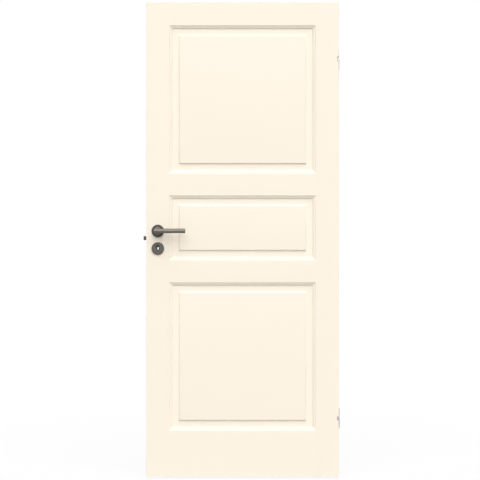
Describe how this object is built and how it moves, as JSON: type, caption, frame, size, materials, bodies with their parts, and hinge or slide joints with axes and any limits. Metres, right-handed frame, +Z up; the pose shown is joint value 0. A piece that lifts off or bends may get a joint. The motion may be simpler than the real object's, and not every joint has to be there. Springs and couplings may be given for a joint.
{
  "type": "three-panel interior door leaf with lever handles, mortise lock and lift-off hinges",
  "caption": "Cream painted interior door with raised panels, moulded frame, round-bar lever handles, keyhole roses, a mortise latch and lift-off hinges on its right edge.",
  "frame": {"origin": "middle of the flat mounting face of the lower hinge's frame plate", "axes": "+X from the latch edge to the hinge edge, +Y from the front face to the back face, +Z up"},
  "size_m": [0.8473, 0.156, 2.04],
  "materials": {
    "painted_wood": "smooth satin cream paint",
    "handle_metal": "dark satin nickel",
    "lock_steel": "satin steel",
    "hinge_steel": "zinc-plated steel"
  },
  "bodies": {
    "hinge_base": {"lower_hinge_frame_half": "hinge_steel", "upper_hinge_frame_half": "hinge_steel", "lower_hinge_pin": "hinge_steel", "upper_hinge_pin": "hinge_steel"},
    "leaf": {"latch_stile": "painted_wood", "hinge_stile": "painted_wood", "bottom_rail": "painted_wood", "lower_middle_rail": "painted_wood", "upper_middle_rail": "painted_wood", "top_rail": "painted_wood", "lower_panel": "painted_wood", "middle_panel": "painted_wood", "upper_panel": "painted_wood", "lock_case": "lock_steel", "lock_faceplate": "lock_steel", "front_lever_rose": "handle_metal", "back_lever_rose": "handle_metal", "front_key_rose": "handle_metal", "back_key_rose": "handle_metal", "lower_hinge_door_half": "hinge_steel", "upper_hinge_door_half": "hinge_steel"},
    "handle": {"front_lever": "handle_metal", "back_lever": "handle_metal", "spindle": "lock_steel", "lock_follower": "lock_steel"},
    "latch": {"latch_bolt": "lock_steel"}
  },
  "joints": [
    {"name": "door_swing", "type": "hinge", "parent": "hinge_base", "child": "leaf", "pos_m": [-0.0065, 0.0285, 0], "axis": [0, 0, -1], "range_deg": [0, 170]},
    {"name": "handle_turn", "type": "hinge", "parent": "leaf", "child": "handle", "pos_m": [-0.7845, 0, 0.807], "axis": [0, 1, 0], "range_deg": [0, 40], "stiffness_Nm_per_rad": 1.2, "springref_deg": -34.38},
    {"name": "latch_slide", "type": "slide", "parent": "leaf", "child": "latch", "axis": [1, 0, 0], "range_m": [0, 0.012]}
  ],
  "couplings": [
    {"joint": "latch_slide", "follows": "handle_turn", "m_per_rad": 0.017}
  ]
}
